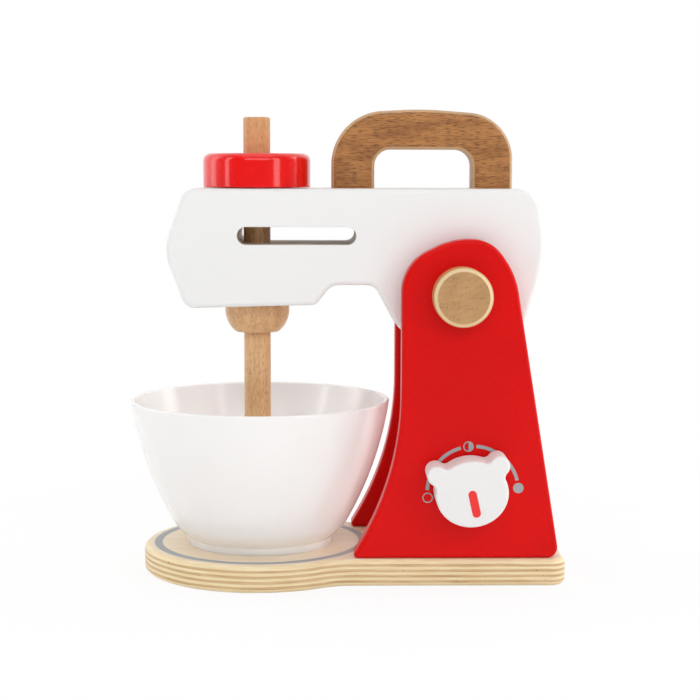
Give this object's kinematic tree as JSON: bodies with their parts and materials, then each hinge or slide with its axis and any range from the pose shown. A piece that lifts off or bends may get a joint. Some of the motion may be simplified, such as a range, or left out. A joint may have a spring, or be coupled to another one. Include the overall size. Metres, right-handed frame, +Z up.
{
  "type": "toy stand mixer",
  "caption": "Wooden toy stand mixer: a tilting head with a turning beater rod over a loose bowl, on a plywood base, with a carrying handle and a turning dial.",
  "frame": {"origin": "on the table, on the underside of the base board, under the beater rod's axis", "axes": "+Z up, +X from the beater rod to the uprights, -Y towards the side with the dial"},
  "size_m": [0.2408, 0.1456, 0.2585],
  "materials": {
    "birch_plywood": "clear satin lacquer, plies bare at the edge",
    "red_paint": "satin red paint",
    "dowel_wood": "bare wood",
    "cap_wood": "end grain, clear lacquer",
    "nylon": "plain",
    "zinc_steel": "zinc plated",
    "white_paint": "satin white paint",
    "beech": "steamed beech, clear satin lacquer",
    "rod_wood": "clear satin lacquer",
    "red_gloss": "glossy red lacquer",
    "white_bowl": "smooth, low gloss",
    "pointer_red": "painted"
  },
  "bodies": {
    "base": {"base_board": "birch_plywood", "front_panel": "red_paint", "rear_panel": "red_paint", "panel_pegs": "dowel_wood", "panel_screws": "zinc_steel", "pivot_axle": "dowel_wood", "axle_cap_front": "cap_wood", "axle_cap_rear": "cap_wood", "head_spacer_front": "nylon", "head_spacer_rear": "nylon", "dial_spacer": "nylon"},
    "head": {"mixer_head": "white_paint", "limit_dowel": "dowel_wood", "carry_handle": "beech", "handle_pegs": "dowel_wood"},
    "beater": {"turning_knob": "red_gloss", "beater_rod": "rod_wood", "chuck_cup": "rod_wood"},
    "dial": {"control_dial": "white_paint", "dial_pointer": "pointer_red", "dial_peg": "dowel_wood", "dial_collar": "nylon"},
    "bowl": {"mixing_bowl": "white_bowl"}
  },
  "joints": [
    {"name": "head_tilt", "type": "hinge", "parent": "base", "child": "head", "pos_m": [0.1111, 0, 0.1583], "axis": [0, 1, 0], "range_deg": [0, 60]},
    {"name": "beater_spin", "type": "hinge", "parent": "head", "child": "beater", "pos_m": [0, 0, 0.19], "axis": [0, 0, 1], "continuous": true},
    {"name": "dial_turn", "type": "hinge", "parent": "base", "child": "dial", "pos_m": [0.11605, -0.0475, 0.0544], "axis": [0, -1, 0], "continuous": true},
    {"name": "bowl_lift", "type": "slide", "parent": "base", "child": "bowl", "axis": [0, 0, 1], "range_m": [0, 0.02]}
  ]
}
